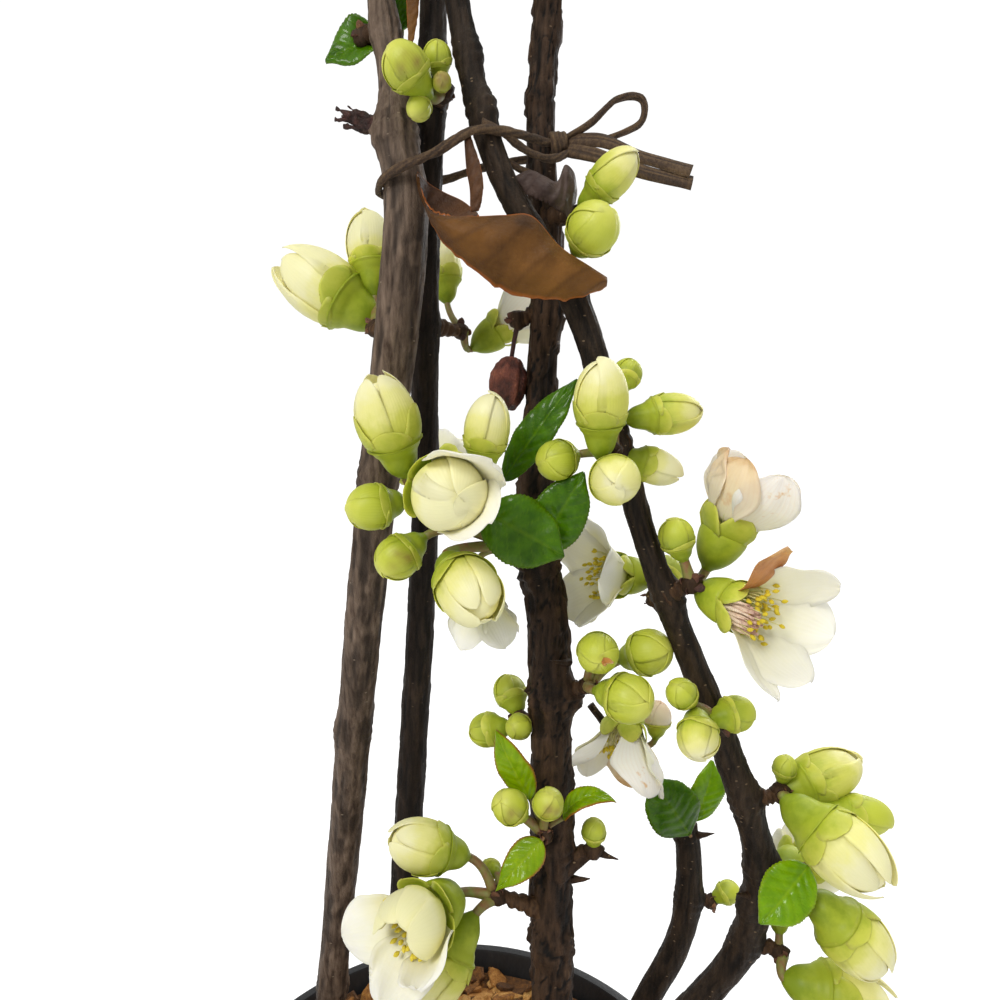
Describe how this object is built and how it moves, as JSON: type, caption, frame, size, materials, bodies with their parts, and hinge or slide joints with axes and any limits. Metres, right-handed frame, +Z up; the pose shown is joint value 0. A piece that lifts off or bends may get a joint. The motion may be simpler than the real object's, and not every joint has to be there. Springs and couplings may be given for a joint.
{
  "type": "potted flowering quince",
  "caption": "Flowering quince shrub in a round nursery pot: upright stems held by a fibre tie, side boughs, and twiggy masses of green buds, white blossoms and young leaves.",
  "frame": {"origin": "centre of the pot's flat underside", "axes": "+Z up along the stems; the plant's front faces -Y, and +X is to the right seen from the front"},
  "size_m": [0.3198, 0.2845, 0.7657],
  "materials": {
    "pot_plastic": "satin",
    "potting_bark": "matte",
    "bark": "matte",
    "blossom": "satin",
    "bud": "satin",
    "petal": "satin",
    "leaf": "gloss",
    "tie_fibre": "matte",
    "dead_leaf": "matte"
  },
  "bodies": {
    "root": {"pot": "pot_plastic", "potting_bark": "potting_bark", "stem_left": "bark", "stem_rear": "bark", "stem_middle": "bark", "stem_right": "bark", "stem_rear_right": "bark", "bough_front_left": "bark", "bough_back_left": "bark", "bough_back": "bark", "bough_back_right": "bark", "bough_right": "bark", "bough_front_right": "bark", "bough_front": "bark", "cluster_middle_front": "blossom", "cluster_right_upper": "blossom", "cluster_right_flower": "blossom", "cluster_middle_right": "blossom", "cluster_middle_left": "blossom", "cluster_right_middle": "blossom", "cluster_middle_low": "blossom", "cluster_middle_stub": "blossom", "cluster_middle_foot": "blossom", "cluster_right_shoulder": "blossom", "cluster_right_elbow": "blossom", "cluster_right_foot": "blossom", "cluster_rear_right_top": "blossom", "cluster_rear_right_side": "blossom", "cluster_rear_right_flower": "blossom", "cluster_right_back": "blossom", "cluster_left_back": "blossom", "cluster_rear_gap": "blossom", "cluster_rear_tie": "blossom", "cluster_tie_right": "blossom", "cluster_left_high": "blossom", "cluster_middle_husk": "blossom", "cluster_rear_back": "blossom", "cluster_left_upper": "blossom", "cluster_rear_upper": "blossom", "cluster_middle_upper": "blossom", "cluster_right_high": "blossom", "mass_left_top": "blossom", "mass_rear_top": "blossom", "mass_middle_top": "blossom", "mass_right_top": "blossom", "mass_front_left": "blossom", "mass_back_left": "blossom", "mass_back": "blossom", "mass_back_right": "blossom", "mass_right": "blossom", "mass_front_right": "blossom", "mass_front": "blossom", "tie": "tie_fibre", "dead_leaf": "dead_leaf"}
  },
  "joints": []
}
